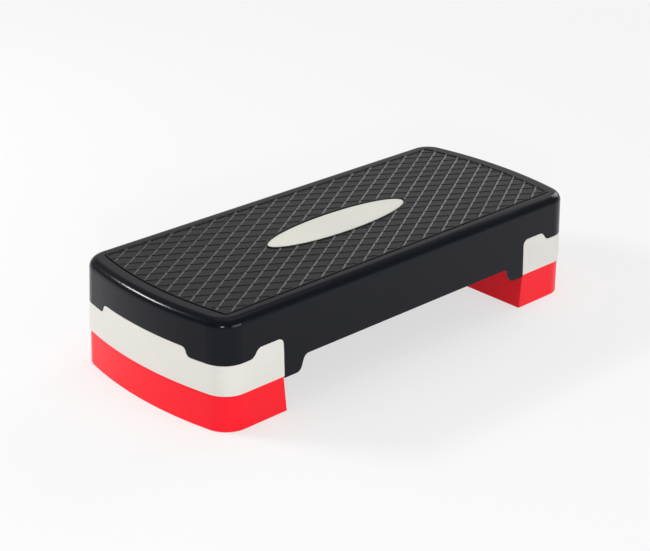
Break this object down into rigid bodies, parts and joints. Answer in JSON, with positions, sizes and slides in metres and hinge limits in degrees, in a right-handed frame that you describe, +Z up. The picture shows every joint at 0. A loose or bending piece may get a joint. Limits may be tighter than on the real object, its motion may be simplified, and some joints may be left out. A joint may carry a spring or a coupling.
{
  "type": "aerobic step platform",
  "caption": "Low exercise step: a moulded deck with a ribbed rubber tread on fixed end feet, with pull-off risers under them that set it at its higher level.",
  "frame": {"origin": "on the floor under the middle of the deck, with the risers fitted", "axes": "+X along the deck towards the right-hand end, +Y across it towards the back, +Z up"},
  "size_m": [0.6824, 0.2852, 0.15],
  "materials": {
    "deck_black": "satin, fine moulded grain",
    "tread_rubber": "matt, raised diamond ribs",
    "plate_ivory": "satin",
    "foot_white": "satin, fine moulded grain",
    "riser_red": "satin, fine moulded grain",
    "pad_rubber": "matt",
    "screw_steel": "zinc plated"
  },
  "bodies": {
    "deck": {"deck_shell": "deck_black", "tread_mat": "tread_rubber", "centre_plate": "plate_ivory", "end_foot_left": "foot_white", "foot_screws_left": "screw_steel", "foot_pad_left_inner_front": "pad_rubber", "foot_pad_left_inner_back": "pad_rubber", "foot_pad_left_outer_front": "pad_rubber", "foot_pad_left_outer_back": "pad_rubber", "end_foot_right": "foot_white", "foot_screws_right": "screw_steel", "foot_pad_right_inner_front": "pad_rubber", "foot_pad_right_inner_back": "pad_rubber", "foot_pad_right_outer_front": "pad_rubber", "foot_pad_right_outer_back": "pad_rubber"},
    "riser_left": {"riser_left": "riser_red", "riser_pad_left_inner_front": "pad_rubber", "riser_pad_left_inner_back": "pad_rubber", "riser_pad_left_outer_front": "pad_rubber", "riser_pad_left_outer_back": "pad_rubber"},
    "riser_right": {"riser_right": "riser_red", "riser_pad_right_inner_front": "pad_rubber", "riser_pad_right_inner_back": "pad_rubber", "riser_pad_right_outer_front": "pad_rubber", "riser_pad_right_outer_back": "pad_rubber"}
  },
  "joints": [
    {"name": "riser_left_pull", "type": "slide", "parent": "deck", "child": "riser_left", "axis": [0, 0, -1], "range_m": [0, 0.06]},
    {"name": "riser_right_pull", "type": "slide", "parent": "deck", "child": "riser_right", "axis": [0, 0, -1], "range_m": [0, 0.06]}
  ]
}
